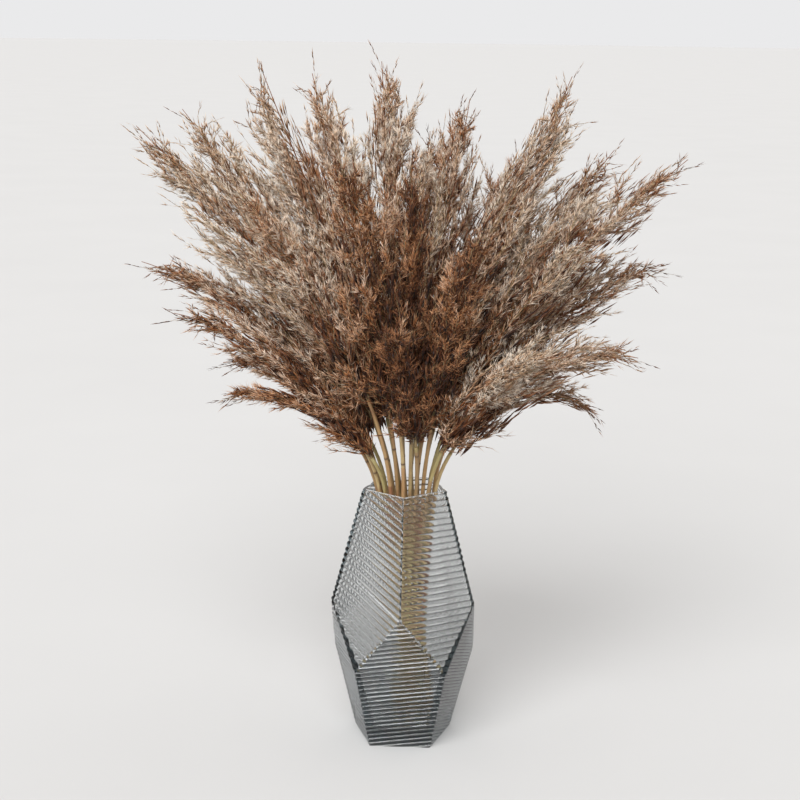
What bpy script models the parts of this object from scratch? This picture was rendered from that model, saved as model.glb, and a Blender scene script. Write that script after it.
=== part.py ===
"""A bunch of dried reed standing in a five-sided ribbed glass vase.

The vase is a closed-bottom glass shell of ten flat panes. Each reed is two pieces: the bare
culm, which stands on the glass floor and leans out over the lip, and the plume, a simple
closed spindle around the branching flower head. Metres, +Z up, the front of the bunch
towards -Y, with the origin on the underside of the vase at its middle.
"""

import bpy
import numpy as np

# ---- the glass vase ------------------------------------------------------------------------
VASE_SIDES = 5
VASE_HEIGHT = 0.250
MOUTH_APOTHEM = 0.0343  # middle of the mouth to the middle of one side
FOOT_APOTHEM = 0.0405
PANE_LEAN = 0.2255  # how far a pane leans out for each metre of height, above and below alike
VASE_TURN = np.radians(-2.5)  # the front corner of the mouth looks a little to the left
WALL = 0.0032
FLOOR_HEIGHT = 0.018  # the thick glass bottom

# ---- the culms -----------------------------------------------------------------------------
CULM_RADIUS = 0.00192
CULM_PITCH = 0.00545  # between neighbouring culms where the bundle is gripped
FOOT_SPREAD = 1.55  # how much wider the bundle is at its foot than at the pitch above
MOUTH_SPREAD = np.array([2.22, 1.90])  # the same at the mouth, sideways and front to back
BUNDLE_TWIST = np.radians(118)  # from foot to mouth, so that straight culms cross freely
FOOT_CENTRE = np.array([0.010, 0.003])
MOUTH_CENTRE = np.array([-0.0010, -0.0020])
GAP = 0.0003  # between pieces that touch

# ---- the plumes ----------------------------------------------------------------------------
PLUME_TIP_RADIUS = 0.0012
PLUME_FULLEST = 0.42  # share of a plume's length where it is widest
PLUME_RISE = 0.9  # powers that round the spindle's outline below and above its widest ring
PLUME_FALL = 0.8
PLUME_RINGS = 9

# ---- how a reed bends above the lip --------------------------------------------------------
STRAIGHT_SHARE = 0.30  # how far the first handle of the curve follows the straight culm
ARCH_SHARE = 0.62  # where between lip and tip the second handle stands
PATH_POINTS = 121
CULM_BEND_POINTS = 5
STRAIGHT_LENGTH = 0.23  # of culm inside the vase, where neighbouring plumes keep clear of it
STRAIGHT_POINTS = 60

# Each reed: where its tip is, how far its middle arches above the straight line to the tip,
# how much bare culm stands above the vase, and the widest radius its plume would take.
REEDS = (
    # the outline of the fan, from left to right
    ((-0.167, -0.060, 0.350), 0.050, 0.035, 0.026),
    ((-0.179, 0.050, 0.358), 0.055, 0.035, 0.026),
    ((-0.212, -0.050, 0.424), 0.050, 0.040, 0.030),
    ((-0.253, 0.030, 0.459), 0.055, 0.045, 0.032),
    ((-0.250, 0.000, 0.588), 0.040, 0.055, 0.036),
    ((-0.217, 0.070, 0.600), 0.035, 0.055, 0.034),
    ((-0.140, 0.050, 0.640), 0.020, 0.065, 0.036),
    ((-0.088, -0.025, 0.638), 0.010, 0.060, 0.038),
    ((-0.027, 0.030, 0.648), 0.005, 0.060, 0.038),
    ((0.057, 0.080, 0.613), 0.010, 0.060, 0.034),
    ((0.148, 0.020, 0.637), 0.020, 0.065, 0.036),
    ((0.196, 0.070, 0.567), 0.035, 0.055, 0.034),
    ((0.253, -0.010, 0.565), 0.045, 0.055, 0.036),
    ((0.243, 0.040, 0.462), 0.055, 0.045, 0.032),
    ((0.212, -0.040, 0.386), 0.065, 0.040, 0.030),
    ((0.187, 0.060, 0.305), 0.080, 0.040, 0.026),
    # the front
    ((-0.142, -0.130, 0.543), 0.045, 0.100, 0.038),
    ((-0.062, -0.140, 0.578), 0.035, 0.085, 0.036),
    ((-0.019, -0.130, 0.430), 0.030, 0.050, 0.020),
    ((0.059, -0.150, 0.515), 0.040, 0.065, 0.036),
    ((0.001, -0.095, 0.560), 0.015, 0.055, 0.034),
    ((0.130, -0.135, 0.405), 0.055, 0.045, 0.030),
    # the back
    ((-0.109, 0.140, 0.567), 0.035, 0.055, 0.036),
    ((0.021, 0.170, 0.576), 0.035, 0.060, 0.036),
    ((0.130, 0.140, 0.560), 0.035, 0.055, 0.036),
    ((-0.171, 0.150, 0.454), 0.060, 0.040, 0.032),
    ((0.190, 0.150, 0.449), 0.060, 0.040, 0.032),
)

# ---- finishes: colour, roughness, metallic -------------------------------------------------
GLASS = ((0.36, 0.38, 0.37), 0.05, 0.0)
STRAW = ((0.52, 0.40, 0.22), 0.55, 0.0)
REED = ((0.27, 0.19, 0.13), 0.90, 0.0)


def clear_scene():
    for thing in list(bpy.data.objects):
        bpy.data.objects.remove(thing, do_unlink=True)


def finish(name, colour, roughness, metallic):
    """A plain Principled material of its own for one piece."""
    material = bpy.data.materials.new(name)
    material.use_nodes = True
    shader = material.node_tree.nodes["Principled BSDF"]
    shader.inputs["Base Color"].default_value = (*colour, 1.0)
    shader.inputs["Roughness"].default_value = roughness
    shader.inputs["Metallic"].default_value = metallic
    return material


def add_piece(name, data, look):
    piece = bpy.data.objects.new(name, data)
    data.materials.append(finish(name + "_finish", *look))
    bpy.context.scene.collection.objects.link(piece)
    return piece


# ---- the vase ------------------------------------------------------------------------------
def pane_corners(inset, bottom, top):
    """Four rings of corners, bottom to top, of ten flat panes set in by the inset.

    The lower panes face the half steps of the mouth's corners and the upper panes face
    between them. A corner lies where two panes of its own row meet: at the top and the
    bottom it is cut level, and at the two rings between it also lies on the other row's pane.
    """
    half = np.pi / VASE_SIDES
    spread = np.cos(half)
    square = np.hypot(1, PANE_LEAN)
    foot = FOOT_APOTHEM - inset * square
    mouth = MOUTH_APOTHEM - inset * square

    def lower(z):
        return foot + PANE_LEAN * z

    def upper(z):
        return mouth + PANE_LEAN * (VASE_HEIGHT - z)

    top_reach = mouth + PANE_LEAN * VASE_HEIGHT
    ankle = (top_reach * spread - foot) / (PANE_LEAN * (1 + spread))
    shoulder = (top_reach - foot * spread) / (PANE_LEAN * (1 + spread))
    rings = (
        (bottom, lower(bottom) / spread, half),
        (ankle, lower(ankle) / spread, half),
        (shoulder, upper(shoulder) / spread, 0.0),
        (top, upper(top) / spread, 0.0),
    )
    turn = 2 * np.pi / VASE_SIDES * np.arange(VASE_SIDES)
    points = []
    for height, reach, start in rings:
        around = turn + start + VASE_TURN
        level = np.full(VASE_SIDES, height)
        points.append(np.column_stack([reach * np.sin(around), -reach * np.cos(around), level]))
    return np.concatenate(points)


def pane_faces(first, outward):
    """The ten panes and the level bottom of one skin whose corners start at first."""
    foot, ankle, shoulder, mouth = (first + VASE_SIDES * ring for ring in range(4))
    faces = [[foot + side for side in range(VASE_SIDES)]]
    for side in range(VASE_SIDES):
        after = (side + 1) % VASE_SIDES
        faces.append([foot + side, ankle + side, shoulder + after, ankle + after, foot + after])
        faces.append([shoulder + side, mouth + side, mouth + after, shoulder + after, ankle + side])
    return [face[::-1] for face in faces] if outward else faces


def make_vase():
    outside = pane_corners(0.0, 0.0, VASE_HEIGHT)
    inside = pane_corners(WALL, FLOOR_HEIGHT, VASE_HEIGHT)
    faces = pane_faces(0, True) + pane_faces(len(outside), False)
    lip, inner_lip = 3 * VASE_SIDES, 7 * VASE_SIDES
    for side in range(VASE_SIDES):
        after = (side + 1) % VASE_SIDES
        faces.append([lip + side, lip + after, inner_lip + after, inner_lip + side])
    mesh = bpy.data.meshes.new("vase")
    mesh.from_pydata(np.concatenate([outside, inside]).tolist(), [], faces)
    mesh.validate()
    return add_piece("vase", mesh, GLASS)


# ---- where the reeds run -------------------------------------------------------------------
def bundle_places(count):
    """The innermost places of a triangular packing, in steps of one pitch."""
    widest = int(np.ceil(np.sqrt(count)))
    steps = np.arange(-widest, widest + 1)
    across, along = np.meshgrid(steps, steps)
    places = np.column_stack([(across + along / 2).ravel(), (along * np.sqrt(3) / 2).ravel()])
    order = np.lexsort((np.round(np.arctan2(places[:, 1], places[:, 0]), 6),
                        np.round(np.hypot(places[:, 0], places[:, 1]), 6)))
    return places[order[:count]] * CULM_PITCH


def turned(places, angle):
    c, s = np.cos(angle), np.sin(angle)
    return places @ np.array([[c, s], [-s, c]])


def rested_on_lip(places):
    """Draws each place that lies past a side of the mouth straight in until it rests there."""
    half = np.pi / VASE_SIDES
    facing = half * (1 + 2 * np.arange(VASE_SIDES)) + VASE_TURN
    sides = np.column_stack([np.sin(facing), -np.cos(facing)])
    room = MOUTH_APOTHEM - WALL * np.hypot(1, PANE_LEAN) - CULM_RADIUS - GAP
    reach = np.maximum((places @ sides.T).max(axis=1), CULM_RADIUS)
    return places * np.minimum(1, room / reach)[:, None]


def share_places(mouth_places, tips):
    """Which place each reed takes: swaps go on while one shortens the way to the tips."""
    sideways = np.hypot(tips[:, 0], tips[:, 1])
    lean = np.arctan2(sideways, tips[:, 2] - VASE_HEIGHT)
    wanted = tips[:, :2] * (lean / sideways)[:, None]
    wanted *= np.abs(mouth_places).max(axis=0) / np.abs(wanted).max(axis=0)
    chosen = np.arange(len(tips))
    improved = True
    while improved:
        improved = False
        for one in range(len(tips)):
            for other in range(one + 1, len(tips)):
                kept = wanted[[one, other]] - mouth_places[chosen[[one, other]]]
                swapped = wanted[[one, other]] - mouth_places[chosen[[other, one]]]
                if (swapped**2).sum() < (kept**2).sum() - 1e-12:
                    chosen[[one, other]] = chosen[[other, one]]
                    improved = True
    return chosen


def bend(start, direction, tip, arch, share):
    """Points of a cubic Bezier curve from the lip to the tip, at the given shares of it."""
    reach = np.linalg.norm(tip - start)
    first = start + direction * STRAIGHT_SHARE * reach
    second = start + ARCH_SHARE * (tip - start) + np.array([0, 0, arch])
    u = np.asarray(share)[:, None]
    return (start * (1 - u) ** 3 + first * 3 * u * (1 - u) ** 2
            + second * 3 * u**2 * (1 - u) + tip * u**3)


def reed_paths():
    """For each reed its foot, and a close row of points from the lip to the tip."""
    tips = np.array([reed[0] for reed in REEDS])
    places = bundle_places(len(REEDS))
    mouth_places = rested_on_lip(turned(places, BUNDLE_TWIST) * MOUTH_SPREAD + MOUTH_CENTRE)
    chosen = share_places(mouth_places, tips)
    paths = []
    for (tip, arch, _, _), place in zip(REEDS, chosen):
        foot = np.append(places[place] * FOOT_SPREAD + FOOT_CENTRE, FLOOR_HEIGHT + GAP)
        lip = np.append(mouth_places[place], VASE_HEIGHT)
        straight = (lip - foot) / np.linalg.norm(lip - foot)
        foot[2] += CULM_RADIUS * np.hypot(*straight[:2])  # the cut end tilts with the culm
        shares = np.linspace(0, 1, PATH_POINTS)
        paths.append((foot, bend(lip, straight, np.array(tip), arch, shares)))
    return paths


def along(points, distances):
    """The points at these distances along a close row of points."""
    lengths = np.linalg.norm(np.diff(points, axis=0), axis=1)
    travelled = np.concatenate([[0], np.cumsum(lengths)])
    return np.column_stack([np.interp(distances, travelled, points[:, i]) for i in range(3)])


def length_of(points):
    return np.linalg.norm(np.diff(points, axis=0), axis=1).sum()


# ---- the reeds -----------------------------------------------------------------------------
def tube(name, points, radii, look):
    """A closed round bar of eight sides along the points, as thick as the radii say."""
    curve = bpy.data.curves.new(name, "CURVE")
    curve.dimensions = "3D"
    curve.bevel_depth = 1.0
    curve.bevel_resolution = 2
    curve.use_fill_caps = True
    spline = curve.splines.new("POLY")
    spline.points.add(len(points) - 1)
    for knot, point, radius in zip(spline.points, points, radii):
        knot.co = (*point, 1.0)
        knot.radius = radius
    return add_piece(name, curve, look)


def plume_radii(share, widest):
    """Thin at the neck, widest a little below the middle, and drawn to a point at the tip."""
    below = np.clip(share / PLUME_FULLEST, 0, 1)
    above = np.clip((share - PLUME_FULLEST) / (1 - PLUME_FULLEST), 0, 1)
    swell = np.sin(np.pi / 2 * below) ** PLUME_RISE * np.cos(np.pi / 2 * above) ** PLUME_FALL
    ends = CULM_RADIUS * (1 - share) + PLUME_TIP_RADIUS * share
    return ends + (widest - CULM_RADIUS) * swell


def room_around(points, others):
    """Half the way from each point to the nearest line of the other reeds, less the gap."""
    apart = np.linalg.norm(points[:, None, :] - others[None, :, :], axis=2)
    return apart.min(axis=1) / 2 - GAP


def make_reeds():
    paths = reed_paths()
    inside = np.linspace(0, STRAIGHT_LENGTH, STRAIGHT_POINTS)
    whole = [np.vstack([along(np.array([foot, above[0]]), inside), above])
             for foot, above in paths]
    for number, ((_, _, bare, widest), (foot, above)) in enumerate(zip(REEDS, paths), 1):
        total = length_of(above)
        bare_points = along(above, np.linspace(0, bare, CULM_BEND_POINTS))
        culm_points = np.vstack([foot, bare_points])
        name = f"reed_{number:02d}"
        tube(name + "_culm", culm_points, np.full(len(culm_points), CULM_RADIUS), STRAW)
        share = np.linspace(0, 1, PLUME_RINGS)
        plume_points = along(above, bare + GAP + share * (total - bare - GAP))
        others = np.vstack([line for i, line in enumerate(whole, 1) if i != number])
        radii = np.minimum(plume_radii(share, widest), room_around(plume_points, others))
        tube(name + "_plume", plume_points, np.maximum(radii, PLUME_TIP_RADIUS), REED)


def main():
    clear_scene()
    make_vase()
    make_reeds()


main()
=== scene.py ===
"""A bunch of dried reed in a smoky ribbed glass vase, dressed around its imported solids.

Each plume grows along the middle line of its own packed spindle: a thin stalk carries rising
branches, these carry branchlets, and these carry seed husks with silky hairs. The glass is
the room that ten ribbed blocks share, hollowed by the room that ten plain ones share.
Metres, +Z up, with the front of the bunch towards -Y.
"""

import bpy
import numpy as np
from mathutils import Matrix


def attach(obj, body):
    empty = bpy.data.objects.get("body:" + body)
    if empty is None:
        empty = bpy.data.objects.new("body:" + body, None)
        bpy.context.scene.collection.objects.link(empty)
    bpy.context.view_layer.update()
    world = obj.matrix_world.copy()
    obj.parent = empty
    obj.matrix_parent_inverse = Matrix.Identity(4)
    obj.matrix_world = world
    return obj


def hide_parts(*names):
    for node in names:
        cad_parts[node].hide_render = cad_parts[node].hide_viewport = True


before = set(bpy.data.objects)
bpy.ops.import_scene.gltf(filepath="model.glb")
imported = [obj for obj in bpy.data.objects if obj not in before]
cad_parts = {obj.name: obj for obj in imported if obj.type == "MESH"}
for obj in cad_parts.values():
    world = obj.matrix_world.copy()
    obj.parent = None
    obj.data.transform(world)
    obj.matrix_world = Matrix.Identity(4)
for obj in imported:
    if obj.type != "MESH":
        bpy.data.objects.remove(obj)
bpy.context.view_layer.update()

# ---- the glass vase ------------------------------------------------------------------------
PANES_PER_ROW = 5
PANE_STEP = 2 * np.pi / PANES_PER_ROW  # round the vase
VASE_HEIGHT = 0.250
MOUTH_APOTHEM = 0.0343  # middle of the mouth to the middle of one side
FOOT_APOTHEM = 0.0405
PANE_LEAN = 0.2255  # how far a pane leans out for each metre of height, above and below alike
VASE_TURN = np.radians(-2.5)
WALL = 0.0032
HEAVY_FOOT = 0.0088  # how much thicker the lower panes get down to the foot
FLOOR_HEIGHT = 0.018
MOUTH_CLEARANCE = 0.01  # how far the hollow's cutter stands out of the mouth
RIB_RISE = 0.28  # of a rib's own pitch
RIB_FACETS = 8
BLOCK_REACH = 0.32  # half the length and width of a ribbed block
SMOOTH_BELOW = np.radians(20)  # faces that meet at less than this are shaded as one
LEAST_OUTWARD = 0.3  # cosine of how far a rib's face may turn away from its pane
LEVEL_SLACK = 0.002  # sine of how far a rib's face may be off its rib's direction
DEPTH_SLACK = 0.02  # how far a rib's corner may be off its groove's depth, as a share of it

# Each pane's ribs: how they climb to the right as seen from outside, their pitch, and how
# dark the lines painted on their crests and in the grooves between them are: painted shade
# standing in for the dark room that real ribs reflect.
LOWER_RIBS = (
    (np.radians(9), 0.0048, 0.92, 0.0),
    (np.radians(-21), 0.0032, 0.40, 1.0),
    (np.radians(14), 0.0050, 0.6, 0.0),
    (np.radians(-12), 0.0050, 0.6, 0.0),
    (np.radians(5), 0.0052, 0.0, 1.0),
)
UPPER_RIBS = (
    (np.radians(-2), 0.0058, 0.0, 0.8),
    (np.radians(20), 0.0056, 0.0, 0.8),
    (np.radians(-6), 0.0056, 0.0, 0.8),
    (np.radians(15), 0.0056, 0.0, 0.8),
    (np.radians(-25), 0.0058, 0.0, 0.8),
)

# Each row's lean, the apothem its planes have at height 0, its turn in steps, its ribs.
PANE_ROWS = (
    (PANE_LEAN, FOOT_APOTHEM, 0.0, LOWER_RIBS),
    (-PANE_LEAN, MOUTH_APOTHEM + PANE_LEAN * VASE_HEIGHT, 0.5, UPPER_RIBS),
)

# ---- the culms -----------------------------------------------------------------------------
CULM_RADIUS = 0.00178
CULM_SIDES = 12
CULM_RING_STEP = 0.009
CLOSEST_RINGS = 0.0002
NODE_SWELL = 0.00018
NODE_HALF_WIDTH = 0.0011
NODE_RINGS = (-2.2, -1.2, -0.5, 0, 0.5, 1.2, 2.2)  # half widths away from the node
FIRST_NODE_ROOM = 0.02  # of bare culm below the first gap
NODE_GAPS = (0.06, 0.105)  # shortest and longest
LAST_NODE_ROOM = 0.01
MOST_NODES = 6
SHEATH_RISE = 0.00010
SHEATH_HEM = 0.0004  # the length in which a sheath's thickness begins and ends
SHEATH_LENGTHS = (0.03, 0.09)
BARE_SHARE = 0.5  # of the culms have lost their sheath
BAR_SIDES = 8  # corners round each ring of a packed culm or spindle
LINE_DEGREE = 6

# ---- the plumes ----------------------------------------------------------------------------
# Counts are for a plume of full length and usual width. A pair is a least and a greatest value.
FULL_LENGTH = 0.30
PLUME_REACH = 0.041  # from the stalk to the widest ends of the branches
TIP_ROOM = 0.001  # of the line left bare for the last husks

STALK_POINTS = 26
STALK_SIDES = 5
STALK_RADII = (0.0016, 0.0003)  # at the neck and at the tip
STALK_ROOT = 0.002  # how deep the stalk starts inside its culm
STRAW_SHARE = 0.1  # of the stalk, above which it is brown

CHAFF = 480  # dark shreds packed round the stalk
CHAFF_CLIMB = 0.86  # of the plume
CHAFF_REACH = 0.62  # of the plume's own
CHAFF_SPREAD = np.radians(17)
CHAFF_LENGTHS = (0.016, 0.026)
CHAFF_WIDTHS = (0.0024, 0.0038)
CHAFF_NECK = 0.14  # their paleness at the neck

BRANCHES = 44
BASE_BRANCHES = 12  # short ones that open wide at the neck
BASE_STARTS = (0.0, 0.07)  # shares of the plume
BASE_LENGTHS = (0.07, 0.20)
BRANCH_POINTS = 7
BRANCH_RADII = (0.00040, 0.00014)  # at the stalk and at the end
THREAD_SIDES = 3
SAG = 0.08
GOLDEN_TURN = 3 - np.sqrt(5)  # half turns round the stalk from one branch to the next
WAVE_HEIGHT = 0.0025
WAVES = 1.3  # along a branch

TUFTS = 2800
TUFT_SPREADS = (np.radians(3), np.radians(19))  # the least, and how widely they scatter
TUFT_LENGTHS = (0.0085, 0.0135)
TUFT_WIDTHS = (0.0010, 0.0015)

BRANCHLET_SPACING = 0.0105  # along a branch
BRANCHLET_SPREADS = (np.radians(7), np.radians(26))
BRANCHLET_WIDTH = 0.0005
LAST_BRANCHLETS = (0.010, 0.017)  # the lengths of those that end a branch
LAST_SHARE = 0.985  # where on the branch those stand

HUSKS = 4  # on each branchlet
HUSK_SPREADS = (np.radians(6), np.radians(17))
HUSK_LENGTHS = (0.0080, 0.0120)
HUSK_WIDTHS = (0.0008, 0.0012)
SILK_NECK = -0.08  # the paleness of husks and silk at the neck

HAIRS = 3550
HAIR_SPREADS = (np.radians(4), np.radians(20))
HAIR_LENGTHS = (0.0080, 0.0130)
HAIR_WIDTHS = (0.00052, 0.00080)
HAIR_ROOTS = (0.0, 0.55)  # shares of the husk

# Where a layer's tones begin across the map and how far they run, dark to pale.
WOOD_TONE = 0.05
BROWN_STEP = 0.16  # from the wood's tone to a dark husk's
BRANCHLET_TONE = 0.06
CHAFF_BAND = (0.145, 0.30)
HUSK_BAND = (0.13, 0.32)
TUFT_BAND = (0.48, 0.14)
HAIR_BAND = (0.66, 0.32)
MAP_GAP = 0.004  # between a blade's two edges, so that no face is a bare line on the map
MAP_STEP = 0.05  # how much higher the second edge lies than the first


def unit(vectors):
    """Each vector divided by its own length."""
    return vectors / np.linalg.norm(vectors, axis=-1, keepdims=True)


def read_field(items, field, width=1, kind=np.float32):
    """One field of a mesh's points, corners or faces, one row for each."""
    values = np.empty(len(items) * width, kind)
    items.foreach_get(field, values)
    return values.reshape(-1, width) if width > 1 else values


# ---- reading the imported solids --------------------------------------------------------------
def ring_centres(node, near):
    """The centre of each ring of corners of a packed round bar, from the end nearest to near.

    Corners belong to one ring when equally few triangles part them from that end.
    """
    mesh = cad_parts[node].data
    mesh.calc_loop_triangles()
    rounded = np.round(read_field(mesh.vertices, "co", 3), 6)
    points, merged = np.unique(rounded, axis=0, return_inverse=True)
    triangles = merged.reshape(-1)[read_field(mesh.loop_triangles, "vertices", 3, np.int32)]
    ring = np.full(len(points), -1)
    ring[np.argsort(np.linalg.norm(points - near, axis=1))[:BAR_SIDES]] = 0
    while (ring < 0).any():
        last = ring.max()
        touched = np.unique(triangles[(ring[triangles] == last).any(axis=1)])
        ring[touched[ring[touched] < 0]] = last + 1
    return np.array([points[ring == step].mean(axis=0) for step in range(ring.max() + 1)])


class Line:
    """A reed's middle line: each coordinate is a polynomial of the way travelled from the lip.

    Below the lip it runs straight to the foot, and past the tip straight on.
    """

    def __init__(self, culm_rings, plume_rings):
        centres = np.vstack([culm_rings[1:], plume_rings[1:]])
        steps = np.linalg.norm(np.diff(centres, axis=0), axis=1)
        travelled = np.concatenate([[0], np.cumsum(steps)])
        self.foot = -np.linalg.norm(culm_rings[1] - culm_rings[0])
        self.neck = travelled[len(culm_rings) - 2]
        self.tip = travelled[-1]
        self.fits = [np.polynomial.Polynomial.fit(travelled, row, LINE_DEGREE)
                     for row in centres.T]
        self.below = unit(culm_rings[1] - culm_rings[0])

    def heading(self, travelled):
        """The direction of travel: the polynomials' slopes made unit."""
        inside = np.clip(travelled, 0, self.tip)
        slope = unit(np.stack([fit.deriv()(inside) for fit in self.fits], axis=-1))
        return np.where((travelled < 0)[..., None], self.below, slope)

    def at(self, travelled):
        """The point reached: the polynomials' values, and straight on past either end."""
        inside = np.clip(travelled, 0, self.tip)
        place = np.stack([fit(inside) for fit in self.fits], axis=-1)
        return place + self.heading(travelled) * (travelled - inside)[..., None]

    def sides(self, travelled):
        """Two directions square to the line: the first leans to the back, the second follows."""
        heading = self.heading(travelled)
        back = np.array([0.0, 1.0, 0.0])
        first = unit(back - heading * heading[..., 1:2])
        return first, np.cross(heading, first)


def reed_line(name):
    """The middle line of a reed, read from its packed culm and spindle."""
    far_below = np.array([0.0, 0.0, -9.0])
    culm_rings = ring_centres(name + "_culm", far_below)
    plume_rings = ring_centres(name + "_plume", culm_rings[-1])
    return Line(culm_rings, plume_rings)


# ---- meshes ---------------------------------------------------------------------------------
def new_mesh(name, points, faces):
    """A mesh from one array of points and a list of arrays of faces with equal corners."""
    mesh = bpy.data.meshes.new(name)
    corners = np.concatenate([part.ravel() for part in faces]).astype(np.int32)
    counts = np.concatenate([np.full(len(part), part.shape[1]) for part in faces])
    starts = np.concatenate([[0], np.cumsum(counts)[:-1]]).astype(np.int32)
    mesh.vertices.add(len(points))
    mesh.vertices.foreach_set("co", points.astype(np.float32).ravel())
    mesh.loops.add(len(corners))
    mesh.loops.foreach_set("vertex_index", corners)
    mesh.polygons.add(len(counts))
    mesh.polygons.foreach_set("loop_start", starts)
    mesh.update(calc_edges=True)
    mesh.validate()
    return mesh


def write_field(mesh, name, kind, domain, values):
    """A named field of the mesh that a material can read."""
    field = mesh.attributes.new(name, kind, domain)
    field.data.foreach_set("vector" if kind == "FLOAT_VECTOR" else "value",
                           values.astype(np.float32).ravel())


def in_scene(name, data):
    """A new object in the scene for a mesh, a lamp or a lens."""
    made = bpy.data.objects.new(name, data)
    bpy.context.scene.collection.objects.link(made)
    return made


def new_piece(name, mesh, material):
    """A piece of the object, in the scene and with its material."""
    mesh.materials.append(material)
    return in_scene(name, mesh)


def tube_faces(sides, rings):
    """Quads round a tube whose rings follow each other in the point array, facing outwards."""
    ring = sides * np.arange(rings - 1)[:, None]
    side = np.arange(sides)[None, :]
    after = (side + 1) % sides
    return np.stack([ring + side, ring + after, ring + sides + after, ring + sides + side],
                    axis=-1).reshape(-1, 4)


def end_caps(sides, rings):
    """The faces that close such a tube, one at each end, facing outwards."""
    side = np.arange(sides)
    return np.array([side[::-1], side + sides * (rings - 1)])


def rings_round(places, first, second, radii, sides):
    """Points at place + radius * (first * cos(a) + second * sin(a)), a in equal steps."""
    angle = 2 * np.pi * np.arange(sides) / sides
    ring = first[..., None, :] * np.cos(angle)[:, None]
    ring = ring + second[..., None, :] * np.sin(angle)[:, None]
    return places[..., None, :] + ring * np.asarray(radii)[..., None, None]


# ---- the plumes ----------------------------------------------------------------------------
def square_pair(directions):
    """Two directions square to each direction and to each other."""
    helper = np.where(np.abs(directions[..., 1:2]) < 0.8, [0.0, 1.0, 0.0], [1.0, 0.0, 0.0])
    first = unit(np.cross(directions, helper))
    return first, np.cross(directions, first)


def tilted(directions, angle, azimuth):
    """Each direction tilted by the angle, towards the azimuth around it."""
    first, second = square_pair(directions)
    sideways = first * np.cos(azimuth)[..., None] + second * np.sin(azimuth)[..., None]
    return unit(directions * np.cos(angle)[..., None] + sideways * np.sin(angle)[..., None])


def plume_outline(share):
    """The share of the full reach that a plume has at a share of its way up.

    (1 - exp(-3.8 * the rest of the way)) * (1 - exp(-9 * (the way up + 0.05))).
    """
    share = np.clip(share, 0, 1)
    return (1 - np.exp(-3.8 * (1 - share))) * (1 - np.exp(-9.0 * (share + 0.05)))


def slow_field(points, rng):
    """A smooth random value at each point: half the sum of eight plane waves 35 to 90 mm long."""
    total = np.zeros(points.shape[:-1])
    for _ in range(8):
        direction = unit(rng.normal(size=3)) * 2 * np.pi / rng.uniform(0.035, 0.090)
        total += np.cos(points @ direction + rng.uniform(0, 2 * np.pi))
    return total / 2


def open_to_sight(points):
    """How little of the bunch hides a point: 0.15 in its middle, rising to 1 outwards and upwards.

    It is 1.5 * the share of the bunch's half-width - 0.2, and 1 more for each 80 mm above
    500 mm. The half-width grows from 40 mm at the mouth by 0.55 of the height above it.
    """
    half_width = 0.04 + 0.55 * np.clip(points[:, 2] - VASE_HEIGHT, 0, None)
    share = np.linalg.norm(points[:, :2], axis=1) / half_width
    return np.clip(1.5 * share - 0.2 + np.clip((points[:, 2] - 0.50) / 0.08, 0, None), 0.15, 1)


def at_neck_level(paleness, level, climbed):
    """The paleness drawn to the level at the neck: w * level + (1 - w) * paleness.

    The weight w is exp(-share of the plume climbed / 0.13).
    """
    weight = np.exp(-np.clip(climbed, 0, None) / 0.13)
    return weight * level + (1 - weight) * paleness


def in_band(band, tones):
    """Tones held between 0 and 1, laid across their layer's band of the map."""
    begin, run = band
    return begin + run * np.clip(tones, 0, 1)


def at_share(rows, owner, share):
    """Point and heading at a share of the owner's row, straight between its points."""
    place = np.clip(share, 0, 1) * (rows.shape[1] - 1)
    low = np.minimum(place.astype(int), rows.shape[1] - 2)
    a = rows[owner, low]
    b = rows[owner, low + 1]
    return a + (b - a) * (place - low)[..., None], unit(b - a)


def threads(rows, radii):
    """Closed three-sided tubes along the rows of points, as points and lists of faces."""
    count, points, _ = rows.shape
    heading = unit(np.gradient(rows, axis=1))
    first, second = square_pair(heading)
    ring = rings_round(rows, first, second, radii, THREAD_SIDES).reshape(-1, 3)
    offset = (np.arange(count) * points * THREAD_SIDES)[:, None, None]
    quads = (tube_faces(THREAD_SIDES, points)[None] + offset).reshape(-1, 4)
    last = (points - 1) * THREAD_SIDES
    caps = (np.array([[0, 2, 1], [last, last + 1, last + 2]])[None] + offset).reshape(-1, 3)
    return ring, [quads, caps]


def blades(bases, directions, lengths, widths, fullest, spin):
    """Closed narrow blades of four faces: a root, two edges at the fullest share, and a tip.

    The edges stand off the middle line by half the width, 150 degrees apart, so that the
    blade is a shallow fold rather than flat.
    """
    first, second = square_pair(directions)
    angle = spin[:, None] + np.array([0.0, np.radians(150)])
    edge = first[:, None] * np.cos(angle)[..., None] + second[:, None] * np.sin(angle)[..., None]
    middle = bases + directions * (lengths * fullest)[:, None]
    edge = middle[:, None] + edge * (widths / 2)[:, None, None]
    tips = bases + directions * lengths[:, None]
    points = np.concatenate([bases[:, None], edge, tips[:, None]], axis=1).reshape(-1, 3)
    pattern = np.array([[0, 2, 1], [0, 1, 3], [1, 2, 3], [2, 0, 3]])
    return points, (pattern[None] + 4 * np.arange(len(bases))[:, None, None]).reshape(-1, 3)


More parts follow.
